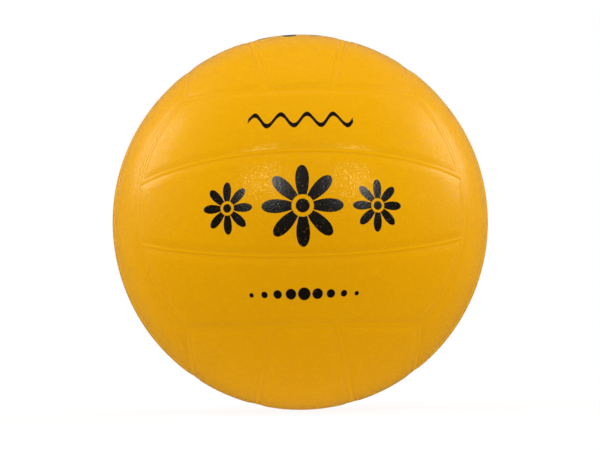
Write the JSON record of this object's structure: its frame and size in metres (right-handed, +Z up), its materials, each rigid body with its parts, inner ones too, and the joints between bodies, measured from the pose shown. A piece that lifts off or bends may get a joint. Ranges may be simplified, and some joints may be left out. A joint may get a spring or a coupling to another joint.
{
  "type": "volleyball",
  "caption": "Soft moulded mini volleyball: pebbled rubber panels in rows of three on a ribbed carcass over a wound bladder, with a pull-out needle valve plug.",
  "frame": {"origin": "centre of the ball", "axes": "+Z up, the printed front face towards -Y, +Y out of the valve"},
  "size_m": [0.2, 0.1998, 0.2],
  "materials": {
    "cover_rubber": "satin golden yellow with a fine pebble grain and black screen print",
    "carcass_rubber": "smooth satin golden yellow",
    "winding_thread": "off-white nylon thread",
    "bladder_butyl": "matt black",
    "valve_rubber": "dull black"
  },
  "bodies": {
    "ball": {"front_lower_panel": "cover_rubber", "front_middle_panel": "cover_rubber", "front_upper_panel": "cover_rubber", "back_lower_panel": "cover_rubber", "back_middle_panel": "cover_rubber", "back_upper_panel": "cover_rubber", "left_front_panel": "cover_rubber", "left_middle_panel": "cover_rubber", "left_rear_panel": "cover_rubber", "right_front_panel": "cover_rubber", "right_middle_panel": "cover_rubber", "right_rear_panel": "cover_rubber", "bottom_left_panel": "cover_rubber", "bottom_middle_panel": "cover_rubber", "bottom_right_panel": "cover_rubber", "top_left_panel": "cover_rubber", "top_middle_panel": "cover_rubber", "top_right_panel": "cover_rubber", "ribbed_carcass": "carcass_rubber", "thread_winding": "winding_thread", "bladder": "bladder_butyl", "valve_housing": "valve_rubber"},
    "plug": {"valve_plug": "valve_rubber"}
  },
  "joints": [
    {"name": "plug_pull", "type": "slide", "parent": "ball", "child": "plug", "axis": [0, 1, 0], "range_m": [0, 0.022]}
  ]
}
